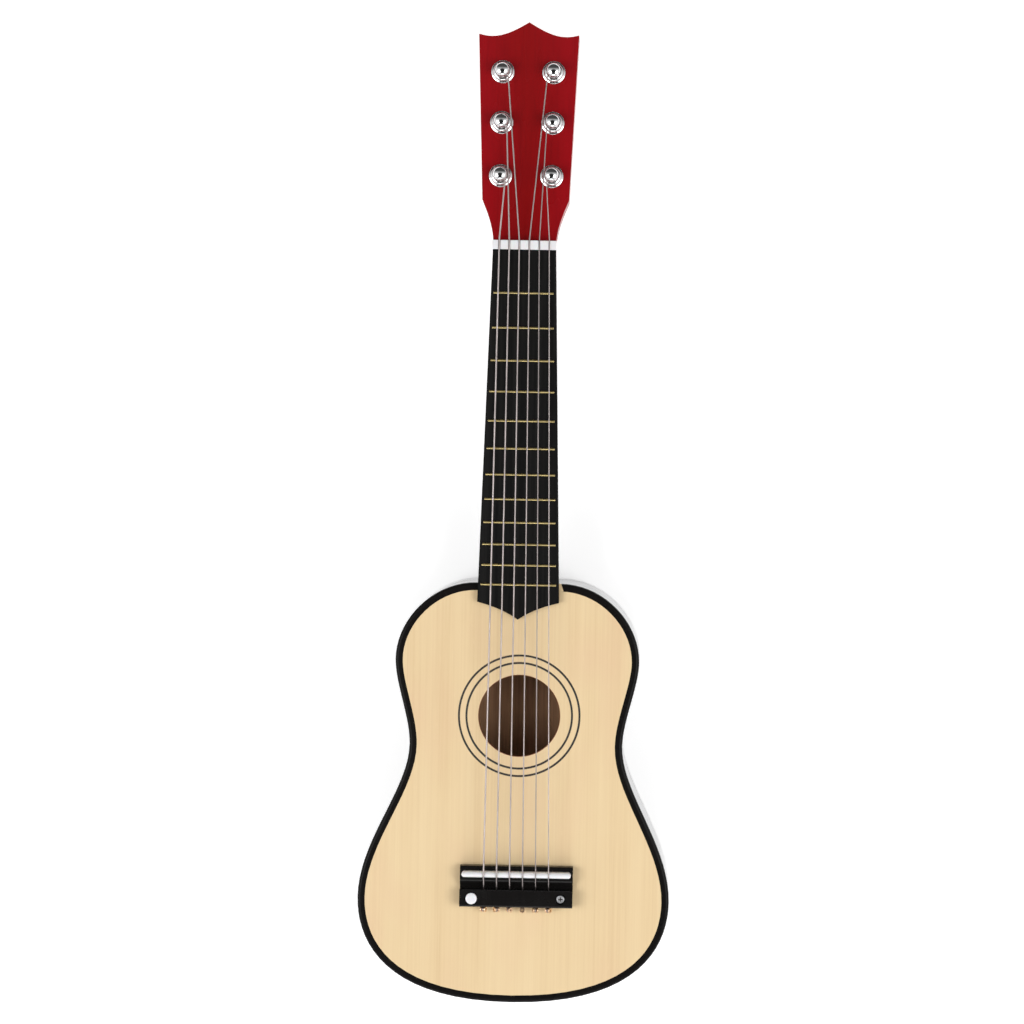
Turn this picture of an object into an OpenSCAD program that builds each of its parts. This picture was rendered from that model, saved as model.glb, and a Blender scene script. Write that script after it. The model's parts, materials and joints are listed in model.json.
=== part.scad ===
// Small six-string acoustic guitar, lying on its back.
// +X to the right seen from the front, +Y towards the headstock, +Z out of the soundboard.
// The origin is under the middle of the whole guitar, at the level of its back.

/* [Body outline] */
// Length of the body, tail to shoulder
body_len = 229.4; // [200:0.1:280]
// Depth of the body, back to soundboard
body_depth = 48; // [38:1:62]
// Width across the lower bout
lower_w = 170.4; // [142:0.1:204]
// Height of the widest point of the lower bout above the tail
lower_y = 56.2; // [50:0.1:62]
// Width across the waist
waist_w = 116.4; // [97:0.1:139]
// Height of the waist above the tail
waist_y = 140.6; // [132:0.1:148]
// Width across the upper bout
upper_w = 133.4; // [112:0.1:159]
// Height of the widest point of the upper bout above the tail
upper_y = 187; // [178:0.1:192]
// Reach of the flat stretch at the tail
tail_reach = 70; // [50:1:74]
// Fullness of the lower bout towards the tail
lower_below = 24; // [20:1:40]
// Fullness of the lower bout towards the waist
lower_above = 31; // [26:1:40]
// Fullness of the waist towards the lower bout
waist_below = 25; // [20:1:35]
// Fullness of the waist towards the upper bout
waist_above = 14.5; // [10:0.5:17]
// Fullness of the upper bout towards the waist
upper_below = 13.5; // [9:0.5:16]
// Fullness of the upper bout towards the shoulder
upper_above = 21.5; // [18:0.5:30]
// Reach of the rounded shoulder beside the neck seat
shoulder_reach = 24; // [16:1:28]
// Width of the flat seat for the neck
seat_w = 46; // [45:0.5:52]

/* [Body walls] */
// Thickness of the soundboard
top_t = 3; // [2.5:0.1:4]
// Thickness of the back plate
back_t = 3; // [2.5:0.1:4]
// Thickness of the bent sides
side_t = 3; // [2.5:0.1:4]
// Width of the black binding round the soundboard
binding_w = 4.1; // [3.4:0.1:5]
// Rounding of the binding's outer edge
binding_r = 1.8; // [1:0.1:2.3]
// Width of the linings
lining_w = 6; // [5:0.5:7.5]
// Height of the linings
lining_h = 7; // [5:0.5:8.5]
// Length of the neck block
neck_block_len = 22; // [18:1:26]
// Width of the neck block
neck_block_w = 50; // [44:1:58]
// Length of the tail block
tail_block_len = 14; // [10:1:16]
// Width of the tail block
tail_block_w = 56; // [46:1:66]
// Width of the soundboard braces
top_brace_w = 8; // [6:0.5:10]
// Height of the soundboard braces
top_brace_h = 9; // [7:0.5:11]
// Width of the back braces
back_brace_w = 10; // [8:0.5:12]
// Height of the back braces
back_brace_h = 7; // [5:0.5:9]

/* [Sound hole] */
// Height of the sound hole's centre above the tail
hole_y = 157; // [148:0.5:162]
// Sideways place of the sound hole
hole_x = 1.6; // [-2:0.1:2]
// Diameter of the sound hole
hole_d = 44.4; // [37:0.2:53]
// Width of each rosette ring
ring_w = 1.1; // [0.9:0.1:1.3]
// Gap from the hole's edge to the inner ring
ring_in = 6.1; // [5:0.1:7]
// Gap between the two rings
ring_gap = 3; // [2.5:0.1:3.6]
// Depth of the rosette grooves
ring_t = 0.8; // [0.6:0.1:1]

/* [Bridge] */
// Height of the bridge's centre above the tail
bridge_y = 64.4; // [55:0.1:72]
// Sideways place of the bridge
bridge_x = 1.8; // [-2:0.1:2.5]
// Length of the bridge across the body
bridge_w = 61.5; // [56:0.1:72]
// Width of the bridge along the strings
bridge_l = 22.1; // [21:0.1:26]
// Height of the bridge's front block
bridge_h = 5.2; // [4.6:0.1:6]
// Height of the bridge's rear block
bridge_rear_h = 7.4; // [6.8:0.1:8.4]
// Width of the bridge's rear block
bridge_rear_l = 9.5; // [8:0.1:10]
// Thickness of the bridge over the valley floor
valley_h = 2.4; // [2:0.1:2.8]
// Length of the saddle
saddle_w = 59.4; // [50:0.1:60]
// Thickness of the saddle
saddle_t = 3.3; // [2.8:0.1:3.6]
// Height of the saddle's crown above the soundboard
saddle_h = 9.2; // [8.6:0.1:10.5]
// Height of the string holes above the soundboard
string_hole_h = 4.6; // [4.2:0.1:5]
// Diameter of the string holes
string_hole_d = 1.6; // [1.4:0.1:2]
// Distance between the two bridge screws
bridge_screw_gap = 48.5; // [45:0.5:51]
// Diameter of the screws' recesses
recess_d = 5.6; // [5:0.1:6.2]

/* [Neck and fingerboard] */
// Length of the free neck, shoulder to nut
neck_free = 182.1; // [150:0.1:220]
// Width of the fingerboard at the nut
board_w_nut = 34.4; // [32:0.1:38]
// Width of the fingerboard at its lower end
board_w_end = 44.6; // [40:0.1:45]
// Length of the fingerboard's straight part on the body
board_overlap = 10.2; // [8:0.1:14]
// Length of the fingerboard's pointed end
board_tip = 9.4; // [7:0.1:11]
// Thickness of the fingerboard
board_t = 4; // [3.2:0.1:5]
// Thickness of the neck at the nut
neck_t_nut = 13; // [11:0.5:16]
// Thickness of the neck at the heel
neck_t_heel = 16; // [14:0.5:20]
// Height of the heel above the back
heel_up = 5; // [4:0.5:10]
// Length of the heel along the neck
heel_len = 34; // [28:1:42]
// Width of the tenon under the neck
tenon_w = 18; // [14:1:22]
// Length of the tenon inside the body
tenon_len = 15; // [12:1:18]

/* [Frets] */
// Number of frets
fret_count = 12; // [10:1:12]
// Width of a fret's crown
fret_w = 1.3; // [1.1:0.1:1.6]
// Height of a fret's crown
fret_h = 0.7; // [0.6:0.05:0.8]
// Thickness of a fret's tang
tang_t = 0.5; // [0.4:0.1:0.6]
// Depth of a fret's tang
tang_h = 1.6; // [1.2:0.1:2]
// Gap from a fret's end to the fingerboard's edge
fret_inset = 1.5; // [1:0.1:2]
// Distance from the nut at which the fret rule starts
fret_start = 3.5; // [2.5:0.1:4.5]
// How far the octave fret lies past the shoulder
octave_past = 0.55; // [-4:0.05:3]

/* [Nut] */
// Thickness of the nut along the strings
nut_t = 5; // [4.4:0.1:6]
// Overhang of the nut at each side of the neck
nut_over = 0.4; // [0:0.1:0.6]
// Height of the nut
nut_h = 6.1; // [5.8:0.1:7]
// Height of the nut's slot floors
nut_floor = 5.3; // [5:0.1:5.6]

/* [Headstock] */
// Length of the headstock along its face
head_len = 121.3; // [110:0.1:132]
// Thickness of the headstock
head_t = 12; // [11:0.5:14]
// Backward tilt of the headstock, degrees
head_tilt = 4.5; // [3:0.5:7]
// Width of the headstock at its top corners
head_w_top = 55.1; // [50:0.1:62]
// Width of the headstock at its lower corners
head_w_low = 47.5; // [45:0.1:54]
// Width of the headstock at the nut
head_w_nut = 34.5; // [34.4:0.1:38]
// Height of the lower corners above the nut
head_low_y = 22.5; // [19:0.1:26]
// How far the top corners lie below the centre point
head_corner_drop = 6.8; // [5:0.1:8]

/* [Tuners] */
// Heights of the three rows of tuners above the nut
tuner_rows = [35.7, 65.2, 93.3];
// Distance of each column of tuners from the centre line
tuner_x = 14; // [13.5:0.1:15]
// Diameter of the tuner bushing's flange
bushing_d = 12.8; // [12:0.1:14]
// Height of the bushing over the headstock
bushing_h = 3; // [2.4:0.1:3.4]
// Diameter of the bushing's sleeve
sleeve_d = 8.4; // [8.2:0.1:10]
// Length of the bushing's sleeve
sleeve_len = 6.5; // [5.5:0.5:10]
// Diameter of the tuner post
post_d = 6; // [5:0.1:6.6]
// Diameter of the post's waist under the strings
waist_post_d = 5.1; // [4.6:0.1:5.4]
// Diameter of the post's domed head
dome_d = 7.7; // [7:0.1:8.2]
// Height of the string on its post, over the headstock
string_on_post = 6.8; // [6.4:0.1:7.2]
// Length of the tuner knob across
knob_w = 17; // [15:0.5:19]
// Thickness of the tuner knob
knob_t = 7.4; // [6:0.1:8.5]
// Length of the tuner knob along the post
knob_l = 13.5; // [12:0.5:15]
// Diameter of the rear washer
washer_d = 11; // [10:0.5:13]
// Thickness of the rear washer
washer_t = 1; // [0.8:0.1:1.4]

/* [Strings] */
// Diameters of the strings, left to right
string_ds = [0.95, 0.9, 0.85, 0.75, 0.65, 0.6];
// Distance between the strings at the nut
nut_pitch = 5.45; // [5.3:0.05:5.9]
// Distance between the strings at the saddle
saddle_pitch = 7.07; // [6.5:0.01:7.6]
// Diameter of a ball end
ball_d = 2.9; // [2.6:0.1:3.2]
// Length of a ball end
ball_l = 3; // [2.6:0.1:3.4]

/* [Fits] */
// Radial clearance of the tuner posts in their bushings
post_clear = 0.05; // [0.02:0.01:0.1]
// Radial clearance of fixed round pieces in their holes
fixed_clear = 0.05; // [0.02:0.01:0.1]
// Gap between a string and what it rests on
string_gap = 0.04; // [0.02:0.01:0.06]
// Gap between a knob and its washer
knob_gap = 0.3; // [0.2:0.05:0.5]

/* [Hidden] */
$fn = 64;
curve_steps = 18;
past = 1;
strings = len(string_ds);
side_h = body_depth - top_t - back_t;
board_y = body_len - board_overlap;
nut_y = body_len + neck_free;
head_y = nut_y + nut_t;
overall_len = head_y + head_len * cos(head_tilt);
tail = -overall_len / 2;
board_len = nut_y - board_y;
scale_len = 2 * (neck_free + octave_past - fret_start);
board_top = body_depth + board_t;
seat_half = seat_w / 2;
board_half_seat = board_half(body_len);
saddle_ahead = 6.9;
saddle_y = bridge_y + saddle_ahead;
saddle_seat_h = 2.7;
rear_front = bridge_rear_l - bridge_l / 2;
bridge_screw_in = 4.7;
bridge_screw_y = bridge_y - bridge_l / 2 + bridge_screw_in;
bridge_plate_t = 2.5;
screw_hole_r = 1.2;
recess_depth = 2.6;
recess_floor = bridge_rear_h - recess_depth;
post_in_knob = 9;
post_low = head_t + washer_t + knob_gap + post_in_knob;
waist_margin = 0.6;
waist_low = bushing_h + waist_margin;
waist_high = string_on_post + waist_margin;
post_lip = 0.3;
dome_h = 2.6;
knob_low = head_t + washer_t + knob_gap + knob_l;
collar_h = 2.2;
tuner_screw_r = 1.2;
knob_recess_d = 4.6;
knob_recess_h = 1.6;
slice_t = 0.02;

WOOD = "burlywood";
BARE_WOOD = "tan";
BLACK = "#181818";
BOARD = "#2a2826";
RED = "#8a0c12";
WHITE = "whitesmoke";
CHROME = "silver";
STEEL = "lightgray";
BRASS = "#c9a44a";

// ---- curves ----

function bezier(p, t) =
    pow(1 - t, 3) * p[0] + 3 * pow(1 - t, 2) * t * p[1] + 3 * (1 - t) * t * t * p[2] + pow(t, 3) * p[3];

function bezier_slope(p, t) =
    pow(1 - t, 2) * (p[1] - p[0]) + 2 * (1 - t) * t * (p[2] - p[1]) + t * t * (p[3] - p[2]);

// A point of the curve, moved to the left of its direction of travel
function inset_point(p, t, inset) =
    let (slope = bezier_slope(p, t), run = norm(slope))
    bezier(p, t) + inset / run * [-slope[1], slope[0]];

// Right half of the body's outline, from the tail round to the neck seat
tail_point = [0, 0];
lower_point = [lower_w / 2, lower_y];
waist_point = [waist_w / 2, waist_y];
upper_point = [upper_w / 2, upper_y];
seat_point = [seat_half, body_len];
outline_curves = [
    [tail_point, [tail_reach, 0], lower_point - [0, lower_below], lower_point],
    [lower_point, lower_point + [0, lower_above], waist_point - [0, waist_below], waist_point],
    [waist_point, waist_point + [0, waist_above], upper_point - [0, upper_below], upper_point],
    [upper_point, upper_point + [0, upper_above], seat_point + [shoulder_reach, 0], seat_point]
];

function half_outline(inset) = concat(
    [for (c = outline_curves) for (i = [0:curve_steps - 1]) inset_point(c, i / curve_steps, inset)],
    [seat_point - [0, inset]]
);

function body_outline(inset) =
    let (half = half_outline(inset), last = len(half) - 1)
    concat(half, [for (i = [last:-1:1]) [-half[i][0], half[i][1]]]);

// Half the fingerboard's width at a height above the tail
function board_half(y) =
    (board_w_end + (board_w_nut - board_w_end) * (y - board_y) / board_len) / 2;

// ---- places ----

module on_body() {
    translate([0, tail, 0]) children();
}

module on_top() {
    translate([0, tail, body_depth]) children();
}

module on_bridge() {
    translate([bridge_x, tail + bridge_y, body_depth]) children();
}

module on_head() {
    translate([0, tail + head_y, body_depth]) rotate([-head_tilt, 0, 0]) children();
}

// A point given on the headstock's face, in the body's own directions
function head_point(p) = [
    p[0],
    head_y + p[1] * cos(head_tilt) + p[2] * sin(head_tilt),
    body_depth - p[1] * sin(head_tilt) + p[2] * cos(head_tilt)
];

function peg_side(i) = i < strings / 2 ? -1 : 1;

function peg_row(i) = i < strings / 2 ? tuner_rows[i] : tuner_rows[strings - 1 - i];

module on_peg(i) {
    on_head() translate([peg_side(i) * tuner_x, peg_row(i), 0]) children();
}

module body_slab(inset, low, height) {
    translate([0, 0, low]) linear_extrude(height) polygon(body_outline(inset));
}

module bar(size, low) {
    translate([-size[0] / 2, -size[1] / 2, low]) cube(size);
}

module ring(outer_r, inner_r, low, height) {
    translate([0, 0, low]) difference() {
        cylinder(h = height, r = outer_r);
        translate([0, 0, -past]) cylinder(h = height + 2 * past, r = inner_r);
    }
}

// ---- body ----

// Gap in the binding that the fingerboard covers, a little wider on the right
module neck_gap(low, height) {
    tuck = 4;
    show_out = 0.9;
    show_in = 2.6;
    left = -(board_half_seat - tuck);
    right_out = board_half_seat + show_out;
    right_in = board_half_seat + show_in;
    inner = body_len - binding_w;
    translate([0, 0, low]) linear_extrude(height)
        polygon([[left, inner], [right_in, inner], [right_out, body_len + past], [left, body_len + past]]);
}

module rosette_cut(inner_r) {
    translate([hole_x, hole_y, 0]) ring(inner_r + ring_w, inner_r, body_depth - ring_t, ring_t + past);
}

inner_ring_r = hole_d / 2 + ring_in;
outer_ring_r = inner_ring_r + ring_w + ring_gap;

module screw_places() {
    for (side = [-1, 1])
        translate([side * bridge_screw_gap / 2, 0, 0]) children();
}

module soundboard() {
    color(WOOD) on_body() difference() {
        union() {
            body_slab(binding_w, body_depth - top_t, top_t);
            intersection() {
                body_slab(0, body_depth - top_t, top_t);
                neck_gap(body_depth - top_t, top_t);
            }
        }
        translate([hole_x, hole_y, body_depth - top_t - past]) cylinder(h = top_t + 2 * past, d = hole_d);
        rosette_cut(inner_ring_r);
        rosette_cut(outer_ring_r);
        translate([bridge_x, bridge_screw_y, body_depth - top_t - past])
            screw_places() cylinder(h = top_t + 2 * past, r = screw_hole_r);
    }
}

// Section of the binding as insets from the outline and heights
function binding_section() = concat(
    [[binding_w, body_depth - top_t], [0, body_depth - top_t]],
    [for (a = [0:18:90]) [
        binding_r * (1 - cos(a)),
        body_depth - binding_r * (1 - sin(a))
    ]],
    [[binding_w, body_depth]]
);

module swept_round(section) {
    rings = [for (s = section) [for (p = body_outline(s[0])) [p[0], p[1], s[1]]]];
    n = len(rings[0]);
    m = len(section);
    points = [for (r = rings) for (p = r) p];
    faces = [for (k = [0:m - 1]) for (j = [0:n - 1]) [
        k * n + j,
        ((k + 1) % m) * n + j,
        ((k + 1) % m) * n + (j + 1) % n,
        k * n + (j + 1) % n
    ]];
    polyhedron(points, faces);
}

module binding() {
    color(BLACK) on_body() difference() {
        swept_round(binding_section());
        neck_gap(body_depth - top_t - past, top_t + 2 * past);
    }
}

// One bent side, from the tail round to the tenon; hand is -1 for left and 1 for right
module bent_side(hand) {
    reach = lower_w;
    color(BLACK) on_body() intersection() {
        difference() {
            body_slab(0, back_t, side_h);
            body_slab(side_t, back_t - past, side_h + 2 * past);
            tenon_space(past);
        }
        translate([hand < 0 ? -reach : 0, -past, 0]) cube([reach, body_len + 2 * past, body_depth]);
    }
}

module back_plate() {
    color(BLACK) on_body() body_slab(0, 0, back_t);
}

module lining(low, height) {
    color(BARE_WOOD) on_body() difference() {
        body_slab(side_t, low, height);
        body_slab(side_t + lining_w, low - past, height + 2 * past);
        block_box(neck_block_w, neck_block_len, true);
        block_box(tail_block_w, tail_block_len, false);
    }
}

module block_box(width, length, at_neck) {
    reach = length + side_t;
    low = at_neck ? body_len - reach : -past;
    translate([-width / 2, low, back_t]) cube([width, reach + past, side_h]);
}

module tenon_space(reach) {
    low = heel_up + 8;
    translate([-tenon_w / 2, body_len - tenon_len - side_t, low])
        cube([tenon_w, tenon_len + side_t + reach, body_depth - low - top_t]);
}

module neck_block() {
    color(BARE_WOOD) on_body() difference() {
        intersection() {
            body_slab(side_t, back_t, side_h);
            block_box(neck_block_w, neck_block_len, true);
        }
        tenon_space(0);
    }
}

module tail_block() {
    color(BARE_WOOD) on_body() intersection() {
        body_slab(side_t, back_t, side_h);
        block_box(tail_block_w, tail_block_len, false);
    }
}

module brace(y, width, low, height) {
    color(BARE_WOOD) on_body() intersection() {
        body_slab(side_t + lining_w, low, height);
        translate([0, y, 0]) bar([lower_w, width, height], low);
    }
}

module top_brace(y) {
    brace(y, top_brace_w, body_depth - top_t - top_brace_h, top_brace_h);
}

module back_brace(y) {
    brace(y, back_brace_w, back_t, back_brace_h);
}

brace_above_hole = 10;
brace_below_hole = 12;
top_brace_upper_y = hole_y + hole_d / 2 + brace_above_hole;
top_brace_lower_y = hole_y - hole_d / 2 - brace_below_hole;
back_brace_middle_y = waist_y - 18;

module bridge_plate() {
    margin = 8;
    plate = [bridge_w + margin, bridge_l + margin, bridge_plate_t];
    under = body_depth - top_t - bridge_plate_t;
    color(BARE_WOOD) on_body() difference() {
        translate([bridge_x, bridge_y, 0]) bar(plate, under);
        translate([bridge_x, bridge_screw_y, under - past])
            screw_places() cylinder(h = bridge_plate_t + 2 * past, r = screw_hole_r);
    }
}

module rosette(inner_r) {
    color(BLACK) on_body() translate([hole_x, hole_y, 0])
        ring(inner_r + ring_w, inner_r, body_depth - ring_t, ring_t);
}

// ---- bridge ----

front = bridge_l / 2;
rear = -bridge_l / 2;
valley_front = 3.7;
edge_r = 1.2;
valley_curve = [
    [valley_front, bridge_h],
    [valley_front - 1.6, bridge_h],
    [rear_front + 2.4, valley_h],
    [rear_front, valley_h]
];

function corner(centre, from) = [for (a = [0:15:90]) centre + edge_r * [cos(from + a), sin(from + a)]];

// Profile of the bridge: first value along the strings, second above the soundboard
function bridge_profile() = concat(
    [[rear, 0], [front, 0]],
    corner([front - edge_r, bridge_h - edge_r], 0),
    [for (i = [0:8]) bezier(valley_curve, i / 8)],
    [[rear_front, bridge_rear_h - 0.5], [rear_front - 0.5, bridge_rear_h]],
    corner([rear + edge_r, bridge_rear_h - edge_r], 90)
);

module across(width) {
    translate([-width / 2, 0, 0]) rotate([90, 0, 90]) linear_extrude(width) children();
}

module saddle_plan(length, width) {
    square([length - width, width], center = true);
    for (side = [-1, 1])
        translate([side * (length - width) / 2, 0]) circle(d = width);
}

module saddle_slot(low, height) {
    translate([0, saddle_y - bridge_y, low]) linear_extrude(height) saddle_plan(saddle_w, saddle_t);
}

module string_places() {
    for (i = [0:strings - 1])
        translate([saddle_x(i), 0, 0]) children();
}

module bridge() {
    color(BLACK) on_bridge() difference() {
        across(bridge_w) polygon(bridge_profile());
        saddle_slot(saddle_seat_h, saddle_h);
        string_places() translate([0, rear_front + past, string_hole_h])
            rotate([90, 0, 0]) cylinder(h = bridge_rear_l + 2 * past, d = string_hole_d);
        translate([0, bridge_screw_y - bridge_y, 0]) screw_places() {
            translate([0, 0, -past]) cylinder(h = recess_floor + 2 * past, r = screw_hole_r);
            translate([0, 0, recess_floor]) cylinder(h = bridge_rear_h, d = recess_d);
        }
    }
}

module saddle() {
    crown = saddle_t / 2;
    color(WHITE) on_bridge() intersection() {
        saddle_slot(saddle_seat_h, saddle_h - saddle_seat_h);
        across(saddle_w) translate([saddle_y - bridge_y, 0]) {
            translate([-crown, 0]) square([saddle_t, saddle_h - crown]);
            translate([0, saddle_h - crown]) circle(r = crown);
        }
    }
}

screw_head_d = 4.2;
screw_head_h = 1.5;
screw_r = screw_hole_r - fixed_clear - 0.05;

module cross_recess(size, depth) {
    for (turn = [0, 90])
        rotate([0, 0, turn]) bar([size, size / 4, depth], 0);
}

module bridge_screws() {
    tip_past = 1;
    cross_w = 2.6;
    cross_depth = 0.9;
    length = recess_floor + top_t + bridge_plate_t + tip_past;
    color(STEEL) on_bridge() translate([0, bridge_screw_y - bridge_y, recess_floor])
    screw_places() difference() {
        union() {
            cylinder(h = screw_head_h, d = screw_head_d);
            translate([0, 0, -length]) cylinder(h = length, r = screw_r);
        }
        translate([0, 0, screw_head_h - cross_depth]) cross_recess(cross_w, past);
    }
}

// A round cap that stands on the bridge over the left screw
module screw_cap() {
    cap_r = 3.05;
    cap_rim = 0.5;
    cap_h = 1.1;
    plug_r = recess_d / 2 - fixed_clear;
    plug_low = recess_floor + screw_head_h - bridge_rear_h;
    color(WHITE) on_bridge()
        translate([-bridge_screw_gap / 2, bridge_screw_y - bridge_y, bridge_rear_h]) rotate_extrude()
            polygon(concat(
                [[0, plug_low], [plug_r, plug_low], [plug_r, 0], [cap_r, 0], [cap_r, cap_rim]],
                [for (a = [15:15:90]) [cap_r * cos(a), cap_rim + (cap_h - cap_rim) * sin(a)]]
            ));
}

// ---- neck ----

// Depth of the neck below the soundboard's level, at a distance from the shoulder
function neck_depth(u) =
    let (
        shaft = neck_t_heel + (neck_t_nut - neck_t_heel) * u / (neck_free + nut_t),
        heel = body_depth - heel_up - neck_t_heel
    )
    shaft + (u < heel_len ? heel * pow(1 - u / heel_len, 2.2) : 0);

module neck_slice(u) {
    half = board_half(min(body_len + u, nut_y));
    depth = neck_depth(u);
    edge = 2;
    translate([0, body_len + u, body_depth]) rotate([90, 0, 0]) linear_extrude(slice_t)
        polygon(concat(
            [[half, 0], [-half, 0]],
            [for (a = [180:12:360]) [half * cos(a), -edge + (depth - edge) * sin(a)]]
        ));
}

module neck() {
    steps = 10;
    color(BLACK) on_body() union() {
        for (i = [0:steps - 1]) hull() {
            neck_slice(heel_len * i / steps + slice_t);
            neck_slice(heel_len * (i + 1) / steps);
        }
        hull() {
            neck_slice(heel_len);
            neck_slice(neck_free + nut_t);
        }
        tenon_space(past);
    }
}

function board_end() = [
    [board_w_end / 2, board_y],
    [board_w_end / 4, board_y - 0.3 * board_tip],
    [board_w_end / 8, board_y - 0.6 * board_tip],
    [0.3, board_y - 0.98 * board_tip]
];

function fret_y(n) = nut_y - fret_start - scale_len * (1 - pow(2, -n / 12));

module each_fret() {
    for (n = [1:fret_count])
        translate([0, fret_y(n), board_top]) across(2 * (board_half(fret_y(n)) - fret_inset)) children();
}

module tang_shape(depth) {
    translate([-tang_t / 2, -depth]) square([tang_t, depth]);
}

module fingerboard() {
    end_points = [for (i = [0:12]) bezier(board_end(), i / 12)];
    left_points = [for (i = [12:-1:0]) [-end_points[i][0], end_points[i][1]]];
    color(BOARD) on_body() difference() {
        translate([0, 0, body_depth]) linear_extrude(board_t)
            polygon(concat(
                [[-board_w_nut / 2, nut_y], [board_w_nut / 2, nut_y]],
                end_points,
                [[0, board_y - board_tip]],
                left_points
            ));
        each_fret() translate([0, past]) tang_shape(tang_h + past);
    }
}

// Fret wires: a rounded crown on a flat tang
module frets() {
    crown_r = (pow(fret_w / 2, 2) + pow(fret_h, 2)) / (2 * fret_h);
    color(BRASS) on_body() each_fret() {
        tang_shape(tang_h);
        intersection() {
            translate([0, fret_h - crown_r]) circle(r = crown_r);
            translate([-fret_w / 2, 0]) square([fret_w, fret_h + past]);
        }
    }
}

function nut_x(i) = (i - (strings - 1) / 2) * nut_pitch;

function saddle_x(i) = (i - (strings - 1) / 2) * saddle_pitch;

module nut() {
    slot_play = 0.3;
    color(WHITE) on_body() difference() {
        translate([0, nut_y + nut_t / 2, body_depth]) bar([board_w_nut + 2 * nut_over, nut_t, nut_h], 0);
        for (i = [0:strings - 1])
            translate([nut_x(i), nut_y + nut_t / 2, body_depth + nut_floor])
                bar([string_ds[i] + slot_play, nut_t + 2 * past, nut_h], 0);
    }
}

// ---- headstock ----

head_shoulder = [head_w_nut / 2, 0];
head_low = [head_w_low / 2, head_low_y];
head_top = [head_w_top / 2, head_len - head_corner_drop];
head_side_curve = [head_shoulder, head_shoulder + [0.6, 8], head_low - [3.2, 7.5], head_low];
head_dip = 3.2;
head_rise = 6.2;
head_top_curve = [head_top, head_top - [10, head_dip], [10, head_len - head_rise], [0, head_len]];

module head_plan() {
    right = concat(
        [[head_shoulder[0], -past * 2]],
        [for (i = [0:10]) bezier(head_side_curve, i / 10)],
        [for (i = [0:16]) bezier(head_top_curve, i / 16)]
    );
    last = len(right) - 1;
    polygon(concat(right, [for (i = [last - 1:-1:0]) [-right[i][0], right[i][1]]]));
}

module headstock() {
    reach = head_w_top;
    post_play = 1;
    color(RED) difference() {
        on_head() difference() {
            translate([0, 0, -head_t]) linear_extrude(head_t) head_plan();
            for (side = [-1, 1]) for (row = tuner_rows) translate([side * tuner_x, row, 0]) {
                translate([0, 0, -head_t - past]) cylinder(h = head_t + 2 * past, d = post_d + post_play);
                translate([0, 0, -sleeve_len]) cylinder(h = sleeve_len + past, d = sleeve_d);
            }
        }
        on_body() translate([-reach / 2, head_y - reach, 0]) cube([reach, reach, body_depth + past]);
    }
}

module tuner_bushings() {
    bore_r = post_d / 2 + post_clear;
    sleeve_r = sleeve_d / 2 - fixed_clear;
    flange_r = bushing_d / 2;
    crown_r = bore_r + 0.7;
    rim = 0.5;
    color(CHROME) for (i = [0:strings - 1]) on_peg(i) rotate_extrude()
        polygon(concat(
            [[bore_r, -sleeve_len], [sleeve_r, -sleeve_len], [sleeve_r, 0], [flange_r, 0], [flange_r, rim]],
            [for (a = [10:10:90]) [
                crown_r + (flange_r - crown_r) * cos(a),
                rim + (bushing_h - rim) * sin(a)
            ]],
            [[bore_r, bushing_h]]
        ));
}

module tuner_washers() {
    color(CHROME) for (i = [0:strings - 1]) on_peg(i)
        ring(washer_d / 2, post_d / 2 + 4 * post_clear, -head_t - washer_t, washer_t);
}

// ---- tuners ----

module tuner_post(i) {
    shaft_r = post_d / 2;
    waist_r = waist_post_d / 2;
    dome_r = dome_d / 2;
    string_eye_r = 0.5;
    pilot_depth = 8;
    string_eye_z = (waist_low + waist_high) / 2;
    color(CHROME) on_peg(i) difference() {
        rotate_extrude() polygon(concat(
            [[0, -post_low], [shaft_r, -post_low], [shaft_r, bushing_h + post_lip], [waist_r, waist_low],
                [waist_r, waist_high], [dome_r - post_lip, waist_high], [dome_r, waist_high + post_lip]],
            [for (a = [10:10:90]) [dome_r * cos(a), waist_high + post_lip + (dome_h - post_lip) * sin(a)]]
        ));
        translate([0, 0, -post_low - past]) cylinder(h = pilot_depth + past, r = tuner_screw_r);
        translate([-post_d / 2, 0, string_eye_z]) rotate([0, 90, 0]) cylinder(h = post_d, r = string_eye_r);
    }
}

// Closed turns of string that lie round the post's waist, under the straight string
module string_winding(i) {
    turn_r = string_ds[i] / 2;
    turn_pitch = 2 * turn_r + string_gap;
    turns = floor((string_on_post - turn_r - waist_low) / turn_pitch);
    ring_r = waist_post_d / 2 + string_gap + turn_r;
    color(STEEL) on_peg(i) for (k = [1:turns])
        translate([0, 0, string_on_post - k * turn_pitch])
            rotate_extrude() translate([ring_r, 0]) circle(r = turn_r, $fn = 24);
}

module knob_plan() {
    square([knob_w - knob_t, knob_t], center = true);
    for (side = [-1, 1])
        translate([side * (knob_w - knob_t) / 2, 0]) circle(d = knob_t);
}

module tuner_knob(i) {
    top = head_t + washer_t + knob_gap;
    color(WHITE) on_peg(i) difference() {
        union() {
            translate([0, 0, -knob_low]) linear_extrude(knob_l - collar_h) knob_plan();
            translate([0, 0, -top - collar_h]) cylinder(h = collar_h, d = knob_t);
        }
        translate([0, 0, -post_low]) cylinder(h = post_low, r = post_d / 2 + 0.02);
        translate([0, 0, -knob_low - past]) cylinder(h = knob_low, r = tuner_screw_r + fixed_clear);
        translate([0, 0, -knob_low - past]) cylinder(h = knob_recess_h + past, d = knob_recess_d);
    }
}

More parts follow.
